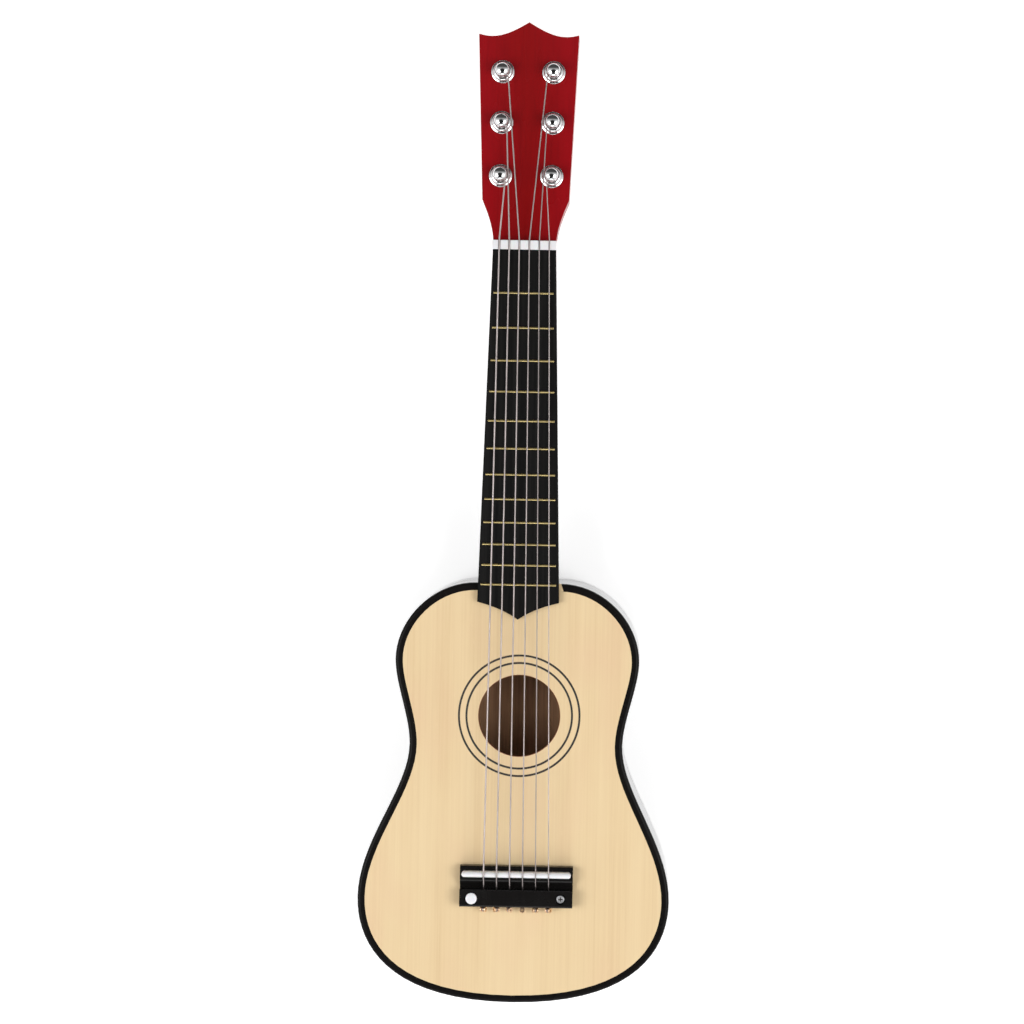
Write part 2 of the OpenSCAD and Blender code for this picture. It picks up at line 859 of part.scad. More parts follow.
module tuner_screw(i) {
    head_d = 4.4;
    screw_head = 1.4;
    grip = 6;
    cross_w = 2.6;
    cross_depth = 0.7;
    seat = knob_low - knob_recess_h;
    length = seat - post_low + grip;
    color(STEEL) on_peg(i) translate([0, 0, -seat]) difference() {
        union() {
            cylinder(h = length, r = tuner_screw_r - fixed_clear);
            translate([0, 0, -screw_head]) cylinder(h = screw_head, d = head_d);
        }
        translate([0, 0, -screw_head - past]) cross_recess(cross_w, past + cross_depth);
    }
}

// ---- strings ----

crown_r = saddle_t / 2;
crown_z = saddle_h - crown_r;
rear_face = bridge_y - bridge_l / 2;

// Angle at which a string leaves the saddle's crown for its hole in the bridge
function break_angle(reach) =
    let (
        back = saddle_y - bridge_y - rear_front,
        down = crown_z - string_hole_h
    )
    atan(down / back) + asin(reach / norm([back, down]));

// Places of string i from its ball end to its post, in the body's own directions
function string_route(i) =
    let (
        r = string_ds[i] / 2,
        x = bridge_x + saddle_x(i),
        reach = crown_r + r + string_gap,
        leave = break_angle(reach),
        hole_z = body_depth + string_hole_h,
        over_nut = body_depth + nut_floor + r + string_gap,
        post_r = waist_post_d / 2 + string_gap + r
    )
    concat(
        [[x, rear_face - string_gap, hole_z], [x, bridge_y + rear_front, hole_z]],
        [for (k = [3:-1:0]) [
            x,
            saddle_y - reach * sin(leave * k / 3),
            body_depth + crown_z + reach * cos(leave * k / 3)
        ]],
        [[nut_x(i), nut_y, over_nut], [nut_x(i), nut_y + nut_t, over_nut]],
        [head_point([peg_side(i) * (tuner_x - post_r), peg_row(i), string_on_post])]
    );

function unit(v) = v / norm(v);

// Direction of the route at point k, halfway between its two stretches
function route_dir(route, k) =
    let (
        last = len(route) - 1,
        ahead = unit(route[min(k + 1, last)] - route[min(k, last - 1)]),
        behind = unit(route[max(k, 1)] - route[max(k - 1, 0)])
    )
    unit(ahead + behind);

module swept_string(route, r) {
    sides = 8;
    n = len(route);
    points = [for (k = [0:n - 1])
        let (
            along = route_dir(route, k),
            across = unit(cross(along, [0, 0, 1])),
            up = cross(across, along)
        )
        for (s = [0:sides - 1]) route[k] + r * (cos(360 * s / sides) * across + sin(360 * s / sides) * up)
    ];
    walls = [for (k = [0:n - 2]) for (s = [0:sides - 1]) [
        k * sides + s,
        (k + 1) * sides + s,
        (k + 1) * sides + (s + 1) % sides,
        k * sides + (s + 1) % sides
    ]];
    caps = [[for (s = [0:sides - 1]) s], [for (s = [sides - 1:-1:0]) (n - 1) * sides + s]];
    polyhedron(points, concat(walls, caps));
}

module guitar_string(i) {
    color(STEEL) on_body() swept_string(string_route(i), string_ds[i] / 2);
}

module ball_ends() {
    ball_r = ball_d / 2;
    color(BRASS) on_bridge() string_places()
        translate([-ball_l / 2, rear - 2 * string_gap - ball_r, string_hole_h]) rotate([0, 90, 0])
            rotate_extrude() polygon([[0, 0], [ball_r - 0.3, 0], [ball_r, 0.3], [ball_r - 0.4, ball_l / 2],
                [ball_r, ball_l - 0.3], [ball_r - 0.3, ball_l], [0, ball_l]]);
}

soundboard();
binding();
bent_side(-1);  // side_left
bent_side(1);  // side_right
back_plate();
lining(body_depth - top_t - lining_h, lining_h);  // top_lining
lining(back_t, lining_h);  // back_lining
neck_block();
tail_block();
top_brace(top_brace_upper_y);  // top_brace_upper
top_brace(top_brace_lower_y);  // top_brace_lower
back_brace(upper_y);  // back_brace_upper
back_brace(back_brace_middle_y);  // back_brace_middle
back_brace(lower_y);  // back_brace_lower
bridge_plate();
rosette(inner_ring_r);  // rosette_inner
rosette(outer_ring_r);  // rosette_outer
bridge();
saddle();
bridge_screws();
screw_cap();
neck();
fingerboard();
frets();
nut();
headstock();
tuner_bushings();
tuner_washers();
ball_ends();
for (i = [0:strings - 1]) {
    guitar_string(i);
    tuner_post(i);
    string_winding(i);
    tuner_knob(i);
    tuner_screw(i);
}
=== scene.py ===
"""Finish of a small six-string acoustic guitar that lies on its back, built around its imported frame.

Lengths are in metres. +X is to the right seen from the front, +Y towards the headstock and +Z out of
the soundboard.
"""

import json
import math

import bpy
from bpy.props import FloatProperty, FloatVectorProperty, IntProperty, PointerProperty
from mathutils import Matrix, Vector

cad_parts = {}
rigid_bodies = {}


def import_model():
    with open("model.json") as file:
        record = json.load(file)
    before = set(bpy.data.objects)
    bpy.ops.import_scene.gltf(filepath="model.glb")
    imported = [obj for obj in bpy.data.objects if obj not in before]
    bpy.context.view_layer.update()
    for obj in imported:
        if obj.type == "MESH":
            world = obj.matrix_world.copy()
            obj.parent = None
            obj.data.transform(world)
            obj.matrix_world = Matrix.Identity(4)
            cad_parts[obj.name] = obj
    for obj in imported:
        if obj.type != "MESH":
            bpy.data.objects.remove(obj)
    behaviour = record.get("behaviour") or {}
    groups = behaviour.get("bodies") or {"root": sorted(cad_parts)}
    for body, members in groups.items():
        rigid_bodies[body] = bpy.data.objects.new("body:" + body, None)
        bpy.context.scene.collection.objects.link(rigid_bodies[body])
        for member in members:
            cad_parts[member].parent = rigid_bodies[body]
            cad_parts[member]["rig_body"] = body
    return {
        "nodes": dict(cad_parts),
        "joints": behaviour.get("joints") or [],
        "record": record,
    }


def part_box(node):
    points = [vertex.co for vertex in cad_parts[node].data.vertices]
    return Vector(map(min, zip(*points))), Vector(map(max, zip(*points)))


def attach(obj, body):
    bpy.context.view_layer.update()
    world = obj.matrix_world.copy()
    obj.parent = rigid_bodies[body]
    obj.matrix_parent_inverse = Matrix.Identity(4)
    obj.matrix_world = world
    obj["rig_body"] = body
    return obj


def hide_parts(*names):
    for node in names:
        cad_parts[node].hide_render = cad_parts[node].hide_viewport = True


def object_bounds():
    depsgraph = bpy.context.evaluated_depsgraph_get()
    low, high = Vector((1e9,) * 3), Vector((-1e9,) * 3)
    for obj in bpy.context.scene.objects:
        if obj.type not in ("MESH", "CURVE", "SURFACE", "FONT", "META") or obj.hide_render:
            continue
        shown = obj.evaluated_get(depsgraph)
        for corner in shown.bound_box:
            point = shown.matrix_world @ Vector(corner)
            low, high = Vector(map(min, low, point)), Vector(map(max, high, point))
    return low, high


bl_info = {
    "name": "Toy Guitar",
    "version": (1, 0, 0),
    "blender": (4, 5, 0),
    "location": "View3D > Sidebar > Guitar",
    "description": "Finishes a small acoustic guitar around its packed frame",
    "category": "Object",
}

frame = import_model()
CAD_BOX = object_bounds()

MM = 0.001
TUNERS = range(1, 7)
TUNER_JOINTS = {int(j["child"].split("_")[1]): j for j in frame["joints"]}
TOP_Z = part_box("soundboard")[1].z
HOLE_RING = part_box("rosette_inner")
HOLE_CENTRE = (HOLE_RING[0] + HOLE_RING[1]) / 2
KNOT_OFFSET = Vector((38.0, 32.0, 0.0)) * MM

# Heights along a tuner's axis, from the headstock's face.
WAIST_FOOT = 3.6 * MM
STRING_HEIGHT = 6.8 * MM

SCREW_EDGE = 0.15 * MM
WIRE_POINTS = 14

# Sockets that share their name with others on the same node, by their place.
RANGE_VALUE, FROM_LOW, FROM_HIGH, TO_LOW, TO_HIGH = range(5)
MIX_SHARE, MIX_FIRST, MIX_SECOND, MIX_COLOUR = 0, 6, 7, 2


# ---- values that a user would change ----


def length(name, text, default):
    return FloatProperty(name=name, description=text, default=default, unit="LENGTH", precision=5)


def colour(name, text, default):
    return FloatVectorProperty(
        name=name, description=text, default=default, subtype="COLOR", size=3, min=0.0, max=1.0
    )


class GuitarSizes(bpy.types.PropertyGroup):
    """Roundings, thicknesses and the camera's place."""

    body_edge: length("Body edge", "Rounding of the back plate's edges", 1.1 * MM)
    board_edge: length("Fingerboard edge", "Rounding of the fingerboard's edges", 0.45 * MM)
    head_edge: length("Headstock edge", "Rounding of the headstock's edges", 0.6 * MM)
    bridge_edge: length("Bridge edge", "Rounding of the bridge's edges", 0.4 * MM)
    plastic_edge: length("Plastic edge", "Rounding of the nut and saddle", 0.3 * MM)
    wire_edge: length("Fret edge", "Rounding of the fret wires' ends", 0.22 * MM)
    cut_edge: length("Cut edge", "Softening of sawn and drilled wood edges", 0.12 * MM)
    knob_edge: length("Knob edge", "Rounding of the tuner knobs", 1.3 * MM)
    hole_radius: length("Sound hole radius", "Radius of the sound hole", 22.2 * MM)
    winding_gap: length("Winding gap", "Gap between the post's waist and its turns of string", 0.04 * MM)
    waist_radius: length("Waist radius", "Radius of the tuner post's waist", 2.55 * MM)
    camera_height: length("Camera height", "Distance from the camera to the soundboard", 1.5)
    camera_foot: FloatVectorProperty(
        name="Camera foot", description="Point of the floor under the camera, from the tail's middle",
        default=(0.0653, 0.32309), size=2, unit="LENGTH",
    )
    camera_focal: FloatProperty(
        name="Focal length", description="Focal length of the camera, in millimetres", default=96.5, min=20.0
    )
    camera_shift: FloatVectorProperty(
        name="Camera shift", description="Shift of the camera's frame", default=(-0.1262, -0.0957), size=2
    )
    camera_roll: FloatProperty(
        name="Camera roll", description="Roll of the camera about its own axis",
        default=math.radians(1.03), subtype="ANGLE",
    )
    turning_steps: IntProperty(
        name="Turning steps", description="Faces round each turned piece", default=64, min=24, max=128
    )


class GuitarColours(bpy.types.PropertyGroup):
    """Colours of the finishes."""

    top_pale: colour("Top, pale", "Pale bands of the soundboard", (0.87, 0.68, 0.41))
    top_mid: colour("Top, middle", "Usual colour of the soundboard", (0.82, 0.62, 0.36))
    top_dark: colour("Top, dark", "Dark grain lines of the soundboard", (0.74, 0.53, 0.29))
    top_pink: colour("Top, pink", "Pinkish patches of the soundboard", (0.80, 0.54, 0.34))
    cut_wood: colour("Cut wood", "Stained edge of the sound hole", (0.26, 0.09, 0.045))
    inner_pale: colour("Inner wood, pale", "Bare wood inside the body", (0.50, 0.28, 0.15))
    inner_dark: colour("Inner wood, dark", "Grain of the bare wood inside the body", (0.32, 0.165, 0.085))
    lacquer: colour("Black lacquer", "Lacquer of the sides, back and neck", (0.005, 0.0045, 0.0045))
    board_dark: colour("Board, dark", "Stained wood of the fingerboard", (0.0035, 0.0035, 0.0035))
    board_pale: colour("Board, pale", "Streaks of the fingerboard", (0.010, 0.0095, 0.009))
    red_side: colour("Red, sides", "Red lacquer near the headstock's sides", (0.32, 0.003, 0.007))
    red_middle: colour("Red, middle", "Red lacquer along the headstock's middle", (0.27, 0.003, 0.004))
    white: colour("White plastic", "Nut, saddle and screw cap", (0.85, 0.85, 0.88))
    cream: colour("Cream plastic", "Tuner knobs", (0.80, 0.74, 0.60))
    chrome: colour("Chrome", "Tuner posts, bushings and washers", (0.80, 0.80, 0.81))
    # String colour: steel grey plus a pink tint that is a painted reflection of the red headstock and the
    # wood.
    steel_and_pink_reflection: colour("Steel", "Strings", (0.46, 0.405, 0.395))
    zinc: colour("Zinc", "Screws", (0.72, 0.72, 0.74))
    brass: colour("Brass", "Fret wires", (0.78, 0.62, 0.28))
    tarnish: colour("Tarnish", "Worn patches of the brass", (0.36, 0.27, 0.12))
    copper: colour("Copper", "Ball ends of the strings", (0.80, 0.55, 0.36))
    floor: colour("Floor", "The plain floor", (0.93, 0.93, 0.93))


def sizes():
    return bpy.context.scene.guitar_sizes


def colours():
    return bpy.context.scene.guitar_colours


# ---- finishes ----


class Field:
    """A number on a shader's socket; arithmetic on it adds Math nodes."""

    def __init__(self, finish, socket):
        self.finish = finish
        self.socket = socket

    def maths(self, operation, first, second=0.0):
        return self.finish.node("ShaderNodeMath", {"operation": operation}, {0: first, 1: second})

    def __add__(self, other):
        return self.maths("ADD", self, other)

    def __radd__(self, other):
        return self.maths("ADD", other, self)

    def __sub__(self, other):
        return self.maths("SUBTRACT", self, other)

    def __rsub__(self, other):
        return self.maths("SUBTRACT", other, self)

    def __mul__(self, other):
        return self.maths("MULTIPLY", self, other)

    def __rmul__(self, other):
        return self.maths("MULTIPLY", other, self)

    def __lt__(self, other):
        return self.maths("LESS_THAN", self, other)

    def __abs__(self):
        return self.maths("ABSOLUTE", self)


class Finish:
    """One procedural material, built around a single surface shader."""

    def __init__(self, name):
        self.material = bpy.data.materials.new(name)
        self.material.use_nodes = True
        self.tree = self.material.node_tree
        self.shader = self.tree.nodes["Principled BSDF"]
        self.place = self.node("ShaderNodeTexCoord", output="Object")

    def node(self, kind, settings=None, inputs=None, output=0):
        """Adds a node: its settings first, then a value or a link for each named input."""
        made = self.tree.nodes.new(kind)
        for name, value in (settings or {}).items():
            if name == "stops":
                self.set_stops(made.color_ramp, value)
            else:
                setattr(made, name, value)
        for key, value in (inputs or {}).items():
            if isinstance(value, Field):
                self.tree.links.new(value.socket, made.inputs[key])
            else:
                made.inputs[key].default_value = value
        return Field(self, made.outputs[output])

    def set_stops(self, ramp, stops):
        while len(ramp.elements) < len(stops):
            ramp.elements.new(1.0)
        for element, (position, shade) in zip(ramp.elements, stops):
            element.position = position
            element.color = (*shade, 1.0)

    def stretched(self, scale):
        """Object coordinates with a scale for each axis, in patterns per metre."""
        return self.node("ShaderNodeMapping", {}, {"Vector": self.place, "Scale": scale})

    def noise(self, scale, detail=3.0, roughness=0.55, distortion=0.0):
        vector = self.stretched(scale)
        return self.node("ShaderNodeTexNoise", {}, {
            "Vector": vector, "Scale": 1.0, "Detail": detail,
            "Roughness": roughness, "Distortion": distortion,
        })

    def axis(self, index):
        """One object coordinate: 0 for X, 1 for Y, 2 for Z."""
        return self.node("ShaderNodeSeparateXYZ", {}, {0: self.place}, index)

    def distance(self, centre):
        """Distance from an upright line through a point."""
        flat = self.stretched((1.0, 1.0, 0.0))
        foot = (centre.x, centre.y, 0.0)
        offset = self.node("ShaderNodeVectorMath", {"operation": "SUBTRACT"}, {0: flat, 1: foot})
        return self.node("ShaderNodeVectorMath", {"operation": "LENGTH"}, {0: offset}, "Value")

    def spread(self, value, low, high):
        """Clamped share of the way from low to high."""
        return self.node("ShaderNodeMapRange", {"clamp": True}, {
            RANGE_VALUE: value, FROM_LOW: low, FROM_HIGH: high, TO_LOW: 0.0, TO_HIGH: 1.0,
        })

    def ramp(self, value, stops):
        return self.node("ShaderNodeValToRGB", {"stops": stops}, {0: value})

    def mix(self, share, first, second):
        """Mixes two colours; a plain colour is a tuple of three."""
        first, second = (c if isinstance(c, Field) else (*c, 1.0) for c in (first, second))
        inputs = {MIX_SHARE: share, MIX_FIRST: first, MIX_SECOND: second}
        return self.node("ShaderNodeMix", {"data_type": "RGBA"}, inputs, MIX_COLOUR)

    def bump(self, height, strength, depth):
        return self.node("ShaderNodeBump", {}, {"Height": height, "Strength": strength, "Distance": depth})

    def surface(self, **values):
        """Sets the shader's sockets; a name's underscores stand for spaces."""
        for name, value in values.items():
            socket = self.shader.inputs[name.replace("_", " ")]
            if isinstance(value, Field):
                self.tree.links.new(value.socket, socket)
            elif isinstance(socket.default_value, float):
                socket.default_value = value
            else:
                socket.default_value = (*value, 1.0)
        return self.material


def top_wood():
    """Pale straight-grained softwood under thin satin lacquer."""
    finish = Finish("top_wood")
    tint = colours()
    fine = finish.noise((900.0, 8.0, 900.0), 4.0, 0.6)
    bands = finish.noise((120.0, 2.0, 120.0), 3.0, 0.5, 0.3)
    patches = finish.noise((24.0, 9.0, 24.0), 3.0, 0.55)
    flecks = finish.spread(finish.noise((1300.0, 130.0, 1300.0), 2.0, 0.6), 0.62, 0.76)
    shade = fine * 0.40 + bands * 0.26 + patches * 0.34
    wood = finish.ramp(shade, [(0.28, tint.top_dark), (0.49, tint.top_mid), (0.72, tint.top_pale)])
    blush = finish.spread(finish.noise((34.0, 15.0, 34.0), 2.0, 0.5), 0.50, 0.72)
    knot = 1.0 - finish.spread(finish.distance(HOLE_CENTRE + KNOT_OFFSET), 4.0 * MM, 21.0 * MM)
    wood = finish.mix(blush * 0.30 + knot * 0.30, wood, tuple(tint.top_pink))
    wood = finish.mix(flecks * 0.30, wood, tuple(tint.top_pale))
    rim = finish.distance(HOLE_CENTRE) < sizes().hole_radius + 0.25 * MM
    wood = finish.mix(rim, wood, tuple(tint.cut_wood))
    height = fine * 0.7 + bands * 0.3
    return finish.surface(
        Base_Color=wood,
        Roughness=0.38 + 0.16 * fine + 0.25 * rim,
        Normal=finish.bump(height, 0.16, 0.05 * MM),
        Specular_IOR_Level=0.35,
        Coat_Weight=0.12,
        Coat_Roughness=0.25,
    )


def inner_wood():
    """Bare wood inside the body, rough and unstained."""
    finish = Finish("inner_wood")
    tint = colours()
    grain = finish.noise((260.0, 14.0, 260.0), 4.0, 0.62, 0.4)
    fibres = finish.noise((1400.0, 40.0, 1400.0), 2.0, 0.6)
    shade = grain * 0.65 + fibres * 0.35
    wood = finish.ramp(shade, [(0.34, tint.inner_dark), (0.66, tint.inner_pale)])
    return finish.surface(
        Base_Color=wood,
        Roughness=0.72 + 0.18 * fibres,
        Normal=finish.bump(fibres, 0.45, 0.10 * MM),
    )


def black_lacquer(name, grain_share, gloss, peel, shine, coat):
    """Gloss black over wood: faint grain, orange peel, handling haze."""
    finish = Finish(name)
    grain_tone = (0.05, 0.043, 0.038)
    haze = finish.noise((42.0, 42.0, 42.0), 4.0, 0.6)
    skin = finish.noise((620.0, 620.0, 620.0), 1.0, 0.5)
    grain = finish.noise((700.0, 16.0, 700.0), 3.0, 0.6)
    black = finish.mix(grain * grain_share, tuple(colours().lacquer), grain_tone)
    return finish.surface(
        Base_Color=black,
        Roughness=gloss + 0.10 * finish.spread(haze, 0.45, 0.75),
        Normal=finish.bump(skin * 0.6 + grain * 0.4, peel, 0.05 * MM),
        Specular_IOR_Level=shine,
        Coat_Weight=coat,
        Coat_Roughness=0.05,
    )


def black_inlay():
    """Thin black inlay, slightly scuffed."""
    finish = Finish("black_inlay")
    stained, worn = (0.018, 0.015, 0.013), (0.050, 0.042, 0.036)
    scuff = finish.noise((800.0, 800.0, 800.0), 3.0, 0.6)
    tone = finish.mix(scuff * 0.6, stained, worn)
    return finish.surface(
        Base_Color=tone,
        Roughness=0.42 + 0.2 * scuff,
        Normal=finish.bump(scuff, 0.1, 0.03 * MM),
    )


def board_black():
    """Black-stained wood of the fingerboard, satin, with faint streaks and pores."""
    finish = Finish("black_board")
    tint = colours()
    pore_tone = (0.006, 0.006, 0.006)
    streaks = finish.noise((420.0, 7.0, 420.0), 4.0, 0.62, 0.25)
    pores = finish.spread(finish.noise((1700.0, 110.0, 1700.0), 2.0, 0.6), 0.58, 0.70)
    wood = finish.mix(finish.spread(streaks, 0.42, 0.68), tuple(tint.board_dark), tuple(tint.board_pale))
    wood = finish.mix(pores * 0.7, wood, pore_tone)
    return finish.surface(
        Base_Color=wood,
        Roughness=0.40 + 0.14 * streaks + 0.12 * pores,
        Normal=finish.bump(streaks * 0.4 - pores * 0.6, 0.22, 0.08 * MM),
        Specular_IOR_Level=0.12,
    )


def red_lacquer():
    """Dark translucent red over wood, deeper along the middle and lighter towards the sides."""
    finish = Finish("red_lacquer")
    tint = colours()
    grain_tone = (0.13, 0.002, 0.004)
    across = finish.spread(abs(finish.axis(0)), 2.0 * MM, 23.0 * MM)
    grain = finish.noise((520.0, 7.0, 520.0), 3.0, 0.55)
    cloud = finish.noise((60.0, 16.0, 60.0), 2.0, 0.5)
    share = finish.spread(across * 0.75 + cloud * 0.5, 0.15, 1.0)
    red = finish.mix(share, tuple(tint.red_middle), tuple(tint.red_side))
    red = finish.mix(finish.spread(grain, 0.44, 0.74) * 0.22, red, grain_tone)
    skin = finish.noise((520.0, 520.0, 520.0), 1.0, 0.5)
    return finish.surface(
        Base_Color=red,
        Roughness=0.22 + 0.10 * cloud,
        Normal=finish.bump(skin * 0.5 + grain * 0.5, 0.05, 0.04 * MM),
        Specular_IOR_Level=0.16,
        Coat_Weight=0.16,
        Coat_Roughness=0.06,
    )


def moulded_plastic(name, tone, warm, gloss):
    """Moulded plastic: faint flow marks, soft shine, a little grime."""
    finish = Finish(name)
    flow = finish.noise((150.0, 60.0, 150.0), 3.0, 0.5, 0.5)
    grain = finish.noise((2200.0, 2200.0, 2200.0), 2.0, 0.5)
    body = finish.mix(finish.spread(flow, 0.38, 0.68), tuple(tone), tuple(c * k for c, k in zip(tone, warm)))
    return finish.surface(
        Base_Color=body,
        Roughness=gloss + 0.12 * flow + 0.05 * grain,
        Normal=finish.bump(grain, 0.06, 0.02 * MM),
        Subsurface_Weight=0.06,
        Subsurface_Scale=0.8 * MM,
    )


def bright_metal(name, tone, gloss, scratch):
    """Bright plated metal with fine scratches and fingerprints."""
    finish = Finish(name)
    smudge = finish.spread(finish.noise((170.0, 170.0, 170.0), 4.0, 0.62), 0.42, 0.72)
    lines = finish.noise((400.0, 400.0, 5200.0), 2.0, 0.6)
    plate = finish.mix(smudge * 0.5, tuple(tone), tuple(c * 0.86 for c in tone))
    return finish.surface(
        Base_Color=plate,
        Metallic=1.0,
        Roughness=gloss + 0.10 * smudge + scratch * lines,
        Normal=finish.bump(lines, 0.04 + scratch * 0.4, 0.02 * MM),
    )


def worn_brass(name, tone, patch, gloss):
    """Drawn brass with tarnished patches."""
    finish = Finish(name)
    patches = finish.spread(finish.noise((210.0, 210.0, 210.0), 4.0, 0.65), 0.44, 0.70)
    lines = finish.noise((60.0, 3200.0, 3200.0), 2.0, 0.6)
    metal = finish.mix(patches * patch, tuple(tone), tuple(colours().tarnish))
    return finish.surface(
        Base_Color=metal,
        Metallic=1.0,
        Roughness=gloss + 0.22 * patches + 0.10 * lines,
        Normal=finish.bump(lines, 0.12, 0.03 * MM),
    )


def string_metal(name, wound):
    """Steel string; a wound one has close turns along its length."""
    finish = Finish(name)
    # The pink in this tone is a painted reflection, not the steel's own colour.
    tone = colours().steel_and_pink_reflection
    grime = finish.spread(finish.noise((90.0, 60.0, 90.0), 4.0, 0.6), 0.45, 0.75)
    metal = finish.mix(grime * 0.6, tuple(tone), tuple(c * 0.72 for c in tone))
    turns = finish.node("ShaderNodeTexWave", {"bands_direction": "Y", "wave_profile": "SIN"}, {
        "Vector": finish.place, "Scale": 1500.0 if wound else 300.0, "Distortion": 0.0,
    }, 1)
    return finish.surface(
        Base_Color=metal,
        Metallic=1.0,
        Roughness=0.34 + 0.16 * grime + 0.08 * turns,
        Normal=finish.bump(turns, 0.35 if wound else 0.05, 0.03 * MM),
    )


def floor_matte():
    finish = Finish("floor")
    tone = tuple(colours().floor)
    speck = finish.noise((9.0, 9.0, 9.0), 2.0, 0.5)
    return finish.surface(
        Base_Color=finish.mix(speck * 0.25, tone, tuple(c * 0.985 for c in tone)),
        Roughness=0.85 + 0.05 * speck,
        Specular_IOR_Level=0.1,
        Emission_Color=(1.0, 1.0, 1.0),
        Emission_Strength=0.50,
    )


FINISH_MAKERS = {
    "top_wood": top_wood,
    "inner_wood": inner_wood,
    "black_lacquer": lambda: black_lacquer(
        "black_lacquer", grain_share=0.25, gloss=0.07, peel=0.05, shine=0.42, coat=0.22
    ),
    "black_binding": lambda: black_lacquer(
        "black_binding", grain_share=0.10, gloss=0.26, peel=0.05, shine=0.08, coat=0.0
    ),
    "black_bridge": lambda: black_lacquer(
        "black_bridge", grain_share=0.10, gloss=0.24, peel=0.08, shine=0.22, coat=0.0
    ),
    "black_inlay": black_inlay,
    "black_board": board_black,
    "red_lacquer": red_lacquer,
    "white_plastic": lambda: moulded_plastic(
        "white_plastic", colours().white, warm=(0.97, 0.96, 0.92), gloss=0.22
    ),
    "knob_plastic": lambda: moulded_plastic(
        "knob_plastic", colours().cream, warm=(0.95, 0.90, 0.80), gloss=0.18
    ),
    "tuner_chrome": lambda: bright_metal("tuner_chrome", colours().chrome, gloss=0.05, scratch=0.06),
    "post_metal": lambda: bright_metal("post_metal", colours().chrome, gloss=0.05, scratch=0.05),
    "screw_steel": lambda: bright_metal("screw_steel", colours().zinc, gloss=0.24, scratch=0.14),
    "fret_brass": lambda: worn_brass("fret_brass", colours().brass, patch=0.75, gloss=0.20),
    "ball_brass": lambda: worn_brass("ball_brass", colours().copper, patch=0.55, gloss=0.24),
    "string_steel": lambda: string_metal("string_steel", wound=False),
    "string_wound": lambda: string_metal("string_wound", wound=True),
    "floor": floor_matte,
}
FINISHES = {}
NODE_SLOTS = {s["node"]: s["material_slot"] for s in frame["record"]["subparts"]}


def finish_of(name):
    if name not in FINISHES:
        FINISHES[name] = FINISH_MAKERS[name]()
    return FINISHES[name]


def wear(piece, finish_name):
    """Gives a piece one finish all over."""
    piece.data.materials.clear()
    piece.data.materials.append(finish_of(finish_name))


# ---- making pieces ----


def deselect_all():
    if bpy.context.mode != "OBJECT":
        bpy.ops.object.mode_set(mode="OBJECT")
    bpy.ops.object.select_all(action="DESELECT")


def make_active(piece):
    deselect_all()
    piece.select_set(True)
    bpy.context.view_layer.objects.active = piece


def edit_all(piece):
    """Opens a piece in edit mode with everything selected."""
    make_active(piece)
    bpy.ops.object.mode_set(mode="EDIT")
    bpy.ops.mesh.select_mode(type="VERT")
    bpy.ops.mesh.select_all(action="SELECT")


def close_edit():
    bpy.ops.object.mode_set(mode="OBJECT")


def apply_modifier(piece, kind, **values):
    make_active(piece)
    modifier = piece.modifiers.new(kind.title(), kind)
    for name, value in values.items():
        setattr(modifier, name, value)
    bpy.ops.object.modifier_apply(modifier=modifier.name)


def shade(piece, degrees=32.0):
    """Smooth shading over curves, with flat faces kept flat."""
    make_active(piece)
    bpy.ops.object.shade_smooth_by_angle(angle=math.radians(degrees))
    apply_modifier(piece, "WEIGHTED_NORMAL", keep_sharp=True, weight=50)


def settle(piece, slot, body, replaced=(), finish=None):
    """Puts a finished piece on its body, with its finish, in place of CAD nodes."""
    make_active(piece)
    bpy.ops.object.transform_apply(location=True, rotation=True, scale=True)
    wear(piece, finish or slot)
    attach(piece, body)
    if replaced:
        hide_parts(*replaced)
    return piece


def body_of(node):
    return frame["nodes"][node]["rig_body"]


def flatten_out(piece):
    """Cuts faces of many corners into triangles, so that none folds over itself."""
    apply_modifier(piece, "TRIANGULATE", quad_method="BEAUTY", ngon_method="BEAUTY", min_vertices=5)


def copy_of(node, name):
    """A merged copy of a CAD node's mesh, with flat areas made single faces."""
    make_active(frame["nodes"][node])
    bpy.ops.object.duplicate()
    piece = bpy.context.object
    piece.name = name
    piece.parent = None
    for key in list(piece.keys()):
        if key.startswith("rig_"):
            del piece[key]
    if piece.data.has_custom_normals:
        bpy.ops.mesh.customdata_custom_splitnormals_clear()
    edit_all(piece)
    bpy.ops.mesh.remove_doubles(threshold=0.002 * MM)
    bpy.ops.mesh.dissolve_limited(angle_limit=math.radians(0.4))
    close_edit()
    return piece


def refined(node, edge, segments=3, sharp=30.0, smooth=32.0, finish=None):
    """Replaces a CAD node with a copy whose sharp edges are rounded and whose curves are smooth."""
    piece = copy_of(node, f"{node}_finished")
    if edge > 0:
        apply_modifier(
            piece, "BEVEL", width=edge, segments=segments, limit_method="ANGLE",
            angle_limit=math.radians(sharp), use_clamp_overlap=True, miter_outer="MITER_SHARP",
        )
    flatten_out(piece)
    shade(piece, smooth)
    return settle(piece, NODE_SLOTS[node], body_of(node), [node], finish)


def wear_on_faces(piece, is_chosen, finish_name):
    """Gives some faces of a finished piece, such as those that look into a hollow, a second finish."""
    edit_all(piece)
    bpy.ops.mesh.select_all(action="DESELECT")
    close_edit()
    piece.data.materials.append(finish_of(finish_name))
    for face in piece.data.polygons:
        face.select = is_chosen(face)
    bpy.ops.object.mode_set(mode="EDIT")
    bpy.ops.mesh.select_mode(type="FACE")
    piece.active_material_index = 1
    bpy.ops.object.material_slot_assign()
    close_edit()


